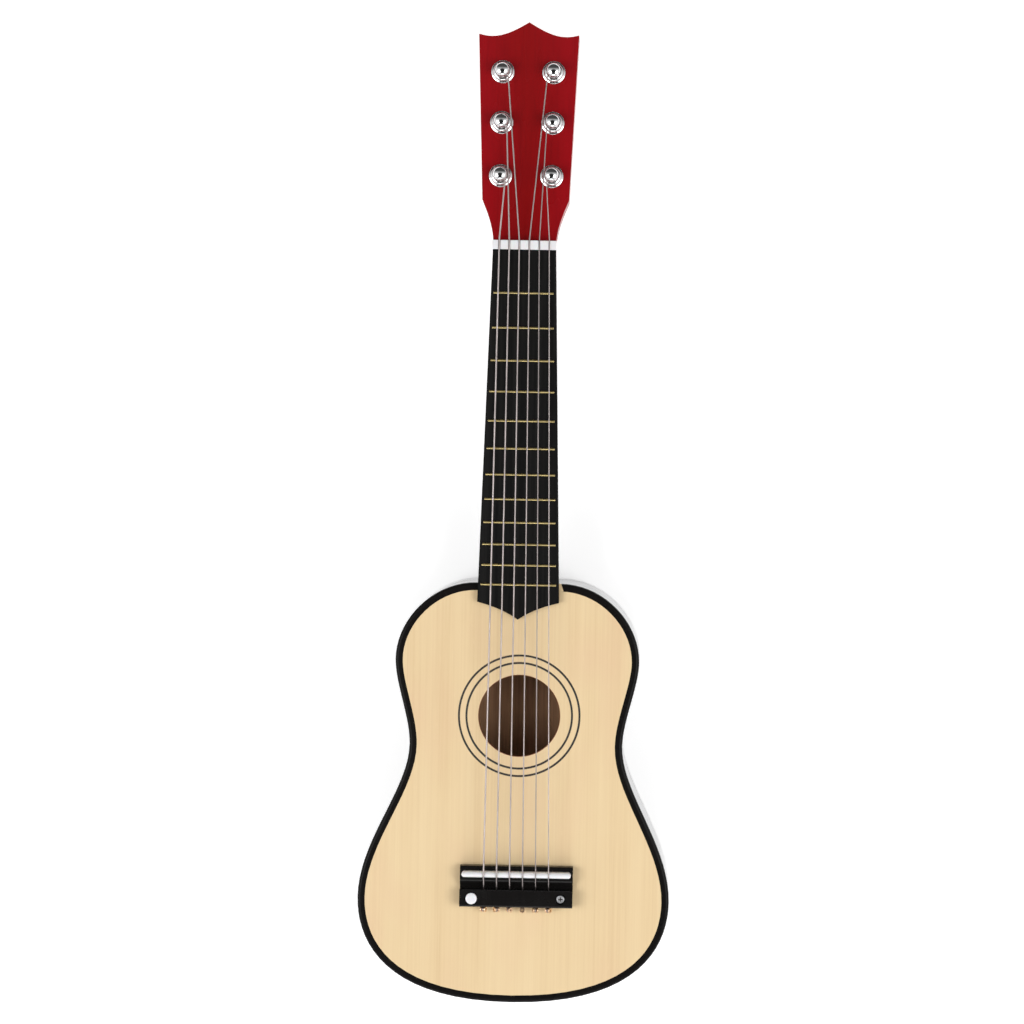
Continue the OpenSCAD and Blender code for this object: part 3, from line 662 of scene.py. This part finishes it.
def turned(name, profile, closed=False):
    """Turns a profile of (radius, height) points about Z by extruding a ring from point to point."""
    no_change = 1e-9
    deselect_all()
    radius, height = profile[0]
    bpy.ops.mesh.primitive_circle_add(
        vertices=sizes().turning_steps, radius=radius, fill_type="NOTHING", location=(0, 0, height)
    )
    piece = bpy.context.object
    piece.name = name
    edit_all(piece)
    for (r0, z0), (r1, z1) in zip(profile, profile[1:]):
        bpy.ops.mesh.extrude_region_move(TRANSFORM_OT_translate={"value": (0, 0, z1 - z0)})
        if abs(r1 - r0) > no_change:
            bpy.ops.transform.resize(value=(r1 / r0, r1 / r0, 1.0), center_override=(0, 0, z1))
    bpy.ops.mesh.select_all(action="SELECT")
    bpy.ops.mesh.remove_doubles(threshold=0.001 * MM)
    if not closed:
        bpy.ops.mesh.fill_holes(sides=0)
    bpy.ops.mesh.normals_make_consistent(inside=False)
    close_edit()
    bpy.ops.object.transform_apply(location=True, rotation=True, scale=True)
    return piece


def arc(centre, radius, first, last, steps):
    """Points of a round profile, as (radius, height), with angles in degrees."""
    turn = [math.radians(first + (last - first) * i / steps) for i in range(steps + 1)]
    return [(centre[0] + radius[0] * math.cos(a), centre[1] + radius[1] * math.sin(a)) for a in turn]


def at_tuner(piece, number):
    """Moves a piece made upright at the origin to a tuner's axis, at the headstock's face."""
    joint = TUNER_JOINTS[number]
    axis = Vector(joint["axis"])
    piece.rotation_euler = (-math.atan2(axis.y, axis.z), 0.0, 0.0)
    piece.location = joint["pos_m"]


def tuner_side(number):
    return -1 if TUNER_JOINTS[number]["pos_m"][0] < 0 else 1


# ---- operators: one for each piece or group of like pieces ----


class PieceOperator(bpy.types.Operator):
    """Shared settings of the guitar's operators."""

    bl_options = {"REGISTER", "UNDO"}


class GUITAR_OT_soundboard(PieceOperator):
    """Soundboard with its drilled sound hole"""

    bl_idname = "guitar.soundboard"
    bl_label = "Soundboard"

    def execute(self, context):
        refined("soundboard", sizes().cut_edge, segments=2)
        return {"FINISHED"}


class GUITAR_OT_shell(PieceOperator):
    """Binding, bent sides and back plate"""

    bl_idname = "guitar.shell"
    bl_label = "Binding, sides and back"

    def side_faces_in(self, face):
        """True for an upright face of a bent side that looks towards the body's middle line."""
        steepest = 0.3
        low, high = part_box("back_plate")
        inset = (high.x - low.x) / 2 * 0.7
        middle = min(max(face.center.y, low.y + inset), high.y - inset)
        outwards = face.normal.x * face.center.x + face.normal.y * (face.center.y - middle)
        return abs(face.normal.z) < steepest and outwards < 0

    def execute(self, context):
        refined("binding", 0.0, smooth=40.0)
        for node in ("side_left", "side_right"):
            wear_on_faces(refined(node, 0.0), self.side_faces_in, "inner_wood")
        tolerance = 0.01 * MM
        inner_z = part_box("back_plate")[1].z - tolerance
        back = refined("back_plate", sizes().body_edge, segments=4)
        wear_on_faces(back, lambda face: face.center.z > inner_z, "inner_wood")
        return {"FINISHED"}


class GUITAR_OT_inside(PieceOperator):
    """Linings, blocks, braces and bridge plate"""

    bl_idname = "guitar.inside"
    bl_label = "Inside of the body"

    def execute(self, context):
        sawn_edge = sizes().cut_edge * 3
        for node in (n for n, slot in NODE_SLOTS.items() if slot == "inner_wood"):
            refined(node, sawn_edge, segments=1)
        return {"FINISHED"}


class GUITAR_OT_rosette(PieceOperator):
    """The two rings let into the soundboard"""

    bl_idname = "guitar.rosette"
    bl_label = "Rosette rings"

    def execute(self, context):
        for node in ("rosette_inner", "rosette_outer"):
            refined(node, 0.0)
        return {"FINISHED"}


class GUITAR_OT_bridge(PieceOperator):
    """Bridge, saddle, bridge screws and screw cap"""

    bl_idname = "guitar.bridge"
    bl_label = "Bridge"

    def execute(self, context):
        refined("bridge", sizes().bridge_edge, sharp=40.0, smooth=38.0)
        refined("saddle", sizes().plastic_edge, sharp=50.0, smooth=40.0)
        screws = refined("bridge_screws", SCREW_EDGE, segments=2, sharp=50.0)
        # The sunk crosses of the screw heads are painted black: painted shade in the recesses.
        wear_on_faces(screws, self.painted_shade_cross_faces(), "black_inlay")
        refined("screw_cap", SCREW_EDGE, segments=2, sharp=50.0, smooth=40.0)
        return {"FINISHED"}

    def painted_shade_cross_faces(self):
        """A test for the faces of the cross that is sunk into each screw's head; these faces are painted
        black as painted shade in the recess.
        """
        head_radius = 2.1 * MM
        cross_radius = 1.45 * MM
        cross_depth = 1.1 * MM
        rounded_depth = 0.12 * MM
        low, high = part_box("bridge_screws")
        centre = (low + high) / 2
        screw_x = (high.x - low.x) / 2 - head_radius

        def in_cross(face):
            across = abs(face.center.x - centre.x) - screw_x
            near = math.hypot(across, face.center.y - centre.y) < cross_radius
            return near and high.z - cross_depth < face.center.z < high.z - rounded_depth

        return in_cross


class GUITAR_OT_neck(PieceOperator):
    """Neck with its heel, fingerboard and nut"""

    bl_idname = "guitar.neck"
    bl_label = "Neck, fingerboard and nut"

    def execute(self, context):
        refined("neck", 0.0, smooth=45.0)
        refined("fingerboard", sizes().board_edge, sharp=40.0)
        refined("nut", sizes().plastic_edge, sharp=50.0)
        return {"FINISHED"}


class GUITAR_OT_frets(PieceOperator):
    """Fret wires with rounded ends"""

    bl_idname = "guitar.frets"
    bl_label = "Frets"

    def execute(self, context):
        refined("frets", sizes().wire_edge, sharp=50.0, smooth=50.0)
        return {"FINISHED"}


class GUITAR_OT_headstock(PieceOperator):
    """Headstock with softened edges"""

    bl_idname = "guitar.headstock"
    bl_label = "Headstock"

    def execute(self, context):
        refined("headstock", sizes().head_edge, segments=4, sharp=40.0, smooth=38.0)
        return {"FINISHED"}


class GUITAR_OT_bushings(PieceOperator):
    """Tuner bushings and rear washers"""

    bl_idname = "guitar.bushings"
    bl_label = "Bushings and washers"

    def execute(self, context):
        profile, ring = self.bushing_profile(), self.washer_profile()
        for number in TUNERS:
            bushing = turned(f"tuner_bushing_{number}", profile, closed=True)
            at_tuner(bushing, number)
            shade(bushing, 50.0)
            settle(bushing, "tuner_chrome", "root", ["tuner_bushings"])
            washer = turned(f"tuner_washer_{number}", ring, closed=True)
            at_tuner(washer, number)
            shade(washer)
            settle(washer, "tuner_chrome", "root", ["tuner_washers"])
        return {"FINISHED"}

    def bushing_profile(self):
        """A sleeve in the headstock under a flange, with a crown round the post."""
        bore, sleeve, flange, crown = 3.05 * MM, 4.15 * MM, 6.4 * MM, 3.75 * MM
        foot, wall, rim, height = -6.5 * MM, 0.63 * MM, 0.9 * MM, 3.0 * MM
        corner, lip, ledge = 0.25 * MM, 0.15 * MM, 0.9 * MM
        rounding = (0.5 * MM, 0.45 * MM)
        dome = (flange - crown - ledge, height - rim - corner)
        profile = [(bore, foot), (sleeve, foot), (sleeve, 0.0), (flange - corner, 0.0)]
        profile += [(flange, corner), (flange, wall)]
        profile += arc((flange - rounding[0], wall), rounding, first=15, last=75, steps=4)
        profile += arc((crown, rim + corner), dome, first=4, last=90, steps=10)
        profile += [(bore + lip, height), (bore, height - lip), (bore, foot)]
        return profile

    def washer_profile(self):
        """A flat ring against the headstock's back, with softened corners."""
        bore, outer, thickness = 3.2 * MM, 5.5 * MM, 1.0 * MM
        corner, lip = 0.2 * MM, 0.15 * MM
        front = -12.0 * MM
        back = front - thickness
        return [
            (bore, front), (outer - corner, front), (outer, front - corner), (outer, back + corner),
            (outer - corner, back), (bore + lip, back), (bore, back + lip), (bore, front),
        ]


class GUITAR_OT_posts(PieceOperator):
    """Tuner posts with a waist for the string and a domed head"""

    bl_idname = "guitar.posts"
    bl_label = "Tuner posts"

    def execute(self, context):
        shaft, waist, dome, tip = 3.0 * MM, sizes().waist_radius, 3.85 * MM, 0.02 * MM
        foot, shoulder, waist_top = -22.2 * MM, 3.25 * MM, 7.4 * MM
        corner, lip, dome_foot, dome_rise = 0.1 * MM, 0.3 * MM, waist_top + 0.35 * MM, 2.2 * MM
        profile = [(shaft, foot), (shaft, shoulder), (waist, WAIST_FOOT), (waist, waist_top - corner)]
        profile += [(waist + corner, waist_top), (dome - lip, waist_top)]
        profile += arc((dome - lip, waist_top + lip), (lip, lip), first=-60, last=0, steps=3)
        profile += arc((tip, dome_foot), (dome - tip, dome_rise), first=6, last=87, steps=14)
        for number in TUNERS:
            post = turned(f"tuner_post_{number}_turned", profile)
            at_tuner(post, number)
            shade(post, 50.0)
            settle(post, "post_metal", f"tuner_{number}", [f"tuner_post_{number}"])
        return {"FINISHED"}


class GUITAR_OT_windings(PieceOperator):
    """Turns of string round each post, with the cut end standing out"""

    bl_idname = "guitar.windings"
    bl_label = "String windings"

    def execute(self, context):
        part_turn, turn_gap, end_drop = 0.45, 0.02 * MM, 0.2 * MM
        steps_per_turn = 40
        for number in TUNERS:
            node = f"string_winding_{number}"
            low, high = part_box(node)
            inner = sizes().waist_radius + sizes().winding_gap
            radius = ((high.x - low.x) / 2 - inner) / 2
            rise = STRING_HEIGHT - WAIST_FOOT - radius
            turns = math.floor(rise / (2 * radius + sizes().winding_gap)) + part_turn
            steps = int(steps_per_turn * turns)
            coil_height = (2 * radius + turn_gap) * turns
            side = tuner_side(number)
            ring = inner + radius
            deselect_all()
            bpy.ops.mesh.primitive_circle_add(
                vertices=WIRE_POINTS, radius=radius, fill_type="NOTHING",
                location=(-side * ring, 0, STRING_HEIGHT), rotation=(math.pi / 2, 0, 0),
            )
            coil = bpy.context.object
            coil.name = f"string_winding_{number}_coiled"
            bpy.ops.object.transform_apply(location=True, rotation=True, scale=True)
            apply_modifier(
                coil, "SCREW", angle=-side * math.tau * turns, screw_offset=-coil_height,
                steps=steps, render_steps=steps, axis="Z",
            )
            edit_all(coil)
            bpy.ops.mesh.remove_doubles(threshold=0.001 * MM)
            bpy.ops.mesh.fill_holes(sides=0)
            bpy.ops.mesh.normals_make_consistent(inside=False)
            close_edit()
            nib = self.cut_end(radius, ring, STRING_HEIGHT - end_drop, side)
            make_active(coil)
            nib.select_set(True)
            bpy.ops.object.join()
            at_tuner(coil, number)
            shade(coil, 60.0)
            settle(coil, "string_steel", f"tuner_{number}", [node])
        return {"FINISHED"}

    def cut_end(self, radius, ring, height, side):
        """A short straight end that leaves the post outwards."""
        across, along, end_length = ring * 0.55, ring * 0.72, 2.1 * MM
        tilt, swing = math.pi / 2.4, 0.75
        deselect_all()
        bpy.ops.mesh.primitive_circle_add(
            vertices=WIRE_POINTS, radius=radius, fill_type="NGON",
            location=(side * across, along, height - radius), rotation=(-tilt, 0, -side * swing),
        )
        nib = bpy.context.object
        bpy.ops.object.transform_apply(location=True, rotation=True, scale=True)
        way = nib.data.polygons[0].normal.copy()
        if way.y < 0:
            way.negate()
        edit_all(nib)
        bpy.ops.mesh.extrude_region_move(TRANSFORM_OT_translate={"value": way * end_length})
        bpy.ops.mesh.select_all(action="SELECT")
        bpy.ops.mesh.normals_make_consistent(inside=False)
        close_edit()
        return nib


class GUITAR_OT_knobs(PieceOperator):
    """Tuner knobs behind the headstock, with their tension screws"""

    bl_idname = "guitar.knobs"
    bl_label = "Tuner knobs and screws"

    def execute(self, context):
        for number in TUNERS:
            refined(f"tuner_knob_{number}", sizes().knob_edge, segments=5, sharp=60.0, smooth=50.0)
            refined(f"tuner_screw_{number}", SCREW_EDGE, segments=2, sharp=50.0)
        return {"FINISHED"}


class GUITAR_OT_strings(PieceOperator):
    """The six strings, the three thick ones wound"""

    bl_idname = "guitar.strings"
    bl_label = "Strings"

    def execute(self, context):
        edge, last_wound = 0.12 * MM, 3
        for number in TUNERS:
            finish = "string_wound" if number <= last_wound else "string_steel"
            refined(f"string_{number}", edge, segments=2, sharp=20.0, smooth=60.0, finish=finish)
        return {"FINISHED"}


class GUITAR_OT_ball_ends(PieceOperator):
    """Grooved ball ends behind the bridge, each with its loop of string"""

    bl_idname = "guitar.ball_ends"
    bl_label = "Ball ends"

    def execute(self, context):
        low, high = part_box("ball_ends")
        radius = (high.z - low.z) / 2
        half = 1.5 * MM
        first, last = low.x + half, high.x - half
        groove = radius - 0.6 * MM
        groove_mouth, groove_floor = 0.75 * MM, 0.4 * MM
        eye, lip, wire = 0.45 * MM, 0.2 * MM, 0.28 * MM
        leans = (0.35, -0.5, 0.9, math.pi / 2, -0.25, 0.6)
        profile = [(eye, -half), (radius - lip, -half), (radius, -half + lip), (radius, -groove_mouth)]
        profile += [(groove, -groove_floor), (groove, groove_floor), (radius, groove_mouth)]
        profile += [(radius, half - lip), (radius - lip, half), (eye, half), (eye, -half)]
        turn = arc((groove + wire, 0.0), (wire, wire), first=0, last=360, steps=12)
        for number, lean in zip(TUNERS, leans):
            share = (number - 1) / (len(TUNERS) - 1)
            place = (first + (last - first) * share, (low.y + high.y) / 2, (low.z + high.z) / 2)
            for name, outline, slot in (
                (f"ball_end_{number}", profile, "ball_brass"),
                (f"string_loop_{number}", turn, "string_steel"),
            ):
                piece = turned(name, outline, closed=True)
                piece.rotation_euler = (0.0, math.pi / 2 - lean, 0.0)
                piece.location = place
                shade(piece, 40.0)
                settle(piece, slot, "root", ["ball_ends"] if slot == "ball_brass" else [])
        return {"FINISHED"}


class GUITAR_OT_stage(PieceOperator):
    """Floor, soft light and camera"""

    bl_idname = "guitar.stage"
    bl_label = "Floor, lights and camera"

    def execute(self, context):
        self.make_floor()
        self.make_lights()
        self.make_world()
        self.make_camera()
        context.scene.view_settings.view_transform = "Standard"
        return {"FINISHED"}

    def make_floor(self):
        deselect_all()
        bpy.ops.mesh.primitive_plane_add(size=12.0, location=(0, 0, 0))
        floor = bpy.context.object
        floor.name = "floor"
        wear(floor, "floor")

    def make_lights(self):
        lamps = (
            ("left_box", (-1.00, -0.20, 1.40), 0.9, 10.8),
            ("right_box", (1.00, -0.20, 1.40), 0.9, 10.8),
            ("low_box", (0.0, -1.9, 1.5), 1.2, 8.3),
        )
        for name, place, size, power in lamps:
            deselect_all()
            bpy.ops.object.light_add(type="AREA", location=place)
            lamp = bpy.context.object
            lamp.name = name
            lamp.data.size = size
            lamp.data.energy = power
            aim = Vector() - Vector(place)
            lamp.rotation_euler = aim.to_track_quat("-Z", "Y").to_euler()

    def make_world(self):
        """Pale surroundings, dark overhead and past the headstock, for polished pieces to mirror."""
        overhead, past_head = (0.0, -0.26, 0.966), (0.0, 1.0, 0.0)
        pale = 0.84
        world = bpy.data.worlds.new("studio")
        bpy.context.scene.world = world
        world.use_nodes = True
        tree = world.node_tree
        tree.nodes.clear()
        links = tree.links
        direction = tree.nodes.new("ShaderNodeTexCoord")
        shades = []
        for facing, low, high, dark in ((overhead, 0.79, 0.90, 0.025), (past_head, 0.10, 0.60, 0.08)):
            share = tree.nodes.new("ShaderNodeVectorMath")
            share.operation = "DOT_PRODUCT"
            share.inputs[1].default_value = facing
            links.new(direction.outputs["Generated"], share.inputs[0])
            spread = tree.nodes.new("ShaderNodeMapRange")
            spread.interpolation_type = "SMOOTHSTEP"
            for key, value in ((FROM_LOW, low), (FROM_HIGH, high), (TO_LOW, 1.0), (TO_HIGH, dark)):
                spread.inputs[key].default_value = value
            links.new(share.outputs["Value"], spread.inputs[RANGE_VALUE])
            shades.append(spread)
        both = tree.nodes.new("ShaderNodeMath")
        both.operation = "MULTIPLY"
        for index, spread in enumerate(shades):
            links.new(spread.outputs[0], both.inputs[index])
        shown = tree.nodes.new("ShaderNodeBackground")
        shown.inputs["Color"].default_value = (1.0, 1.0, 1.0, 1.0)
        lit = tree.nodes.new("ShaderNodeBackground")
        lit.inputs["Color"].default_value = (pale, pale, pale, 1.0)
        links.new(both.outputs[0], lit.inputs["Strength"])
        ray = tree.nodes.new("ShaderNodeLightPath")
        mix = tree.nodes.new("ShaderNodeMixShader")
        output = tree.nodes.new("ShaderNodeOutputWorld")
        links.new(ray.outputs["Is Camera Ray"], mix.inputs[0])
        links.new(lit.outputs[0], mix.inputs[1])
        links.new(shown.outputs[0], mix.inputs[2])
        links.new(mix.outputs[0], output.inputs[0])

    def make_camera(self):
        chosen = sizes()
        place = (chosen.camera_foot[0], CAD_BOX[0][1] + chosen.camera_foot[1], TOP_Z + chosen.camera_height)
        deselect_all()
        bpy.ops.object.camera_add(location=place, rotation=(0.0, 0.0, chosen.camera_roll))
        camera = bpy.context.object
        camera.data.lens = chosen.camera_focal
        camera.data.sensor_width = 36.0
        camera.data.shift_x = chosen.camera_shift[0]
        camera.data.shift_y = chosen.camera_shift[1]
        bpy.context.scene.camera = camera


OPERATORS = (
    GUITAR_OT_soundboard,
    GUITAR_OT_shell,
    GUITAR_OT_inside,
    GUITAR_OT_rosette,
    GUITAR_OT_bridge,
    GUITAR_OT_neck,
    GUITAR_OT_frets,
    GUITAR_OT_headstock,
    GUITAR_OT_bushings,
    GUITAR_OT_posts,
    GUITAR_OT_windings,
    GUITAR_OT_knobs,
    GUITAR_OT_strings,
    GUITAR_OT_ball_ends,
    GUITAR_OT_stage,
)


class GUITAR_PT_pieces(bpy.types.Panel):
    """Lists the guitar's pieces, sizes and colours"""

    bl_idname = "GUITAR_PT_pieces"
    bl_label = "Guitar"
    bl_space_type = "VIEW_3D"
    bl_region_type = "UI"
    bl_category = "Guitar"

    def draw(self, context):
        for operator in OPERATORS:
            self.layout.operator(operator.bl_idname)
        for group in (context.scene.guitar_sizes, context.scene.guitar_colours):
            box = self.layout.box()
            for name in group.__annotations__:
                box.prop(group, name)


CLASSES = (GuitarSizes, GuitarColours, *OPERATORS, GUITAR_PT_pieces)


def register():
    for each in CLASSES:
        bpy.utils.register_class(each)
    bpy.types.Scene.guitar_sizes = PointerProperty(type=GuitarSizes)
    bpy.types.Scene.guitar_colours = PointerProperty(type=GuitarColours)


def unregister():
    del bpy.types.Scene.guitar_colours
    del bpy.types.Scene.guitar_sizes
    for each in reversed(CLASSES):
        bpy.utils.unregister_class(each)


def main():
    register()
    for operator in OPERATORS:
        name = operator.bl_idname.split(".")[1]
        getattr(bpy.ops.guitar, name)()


if __name__ == "__main__":
    main()
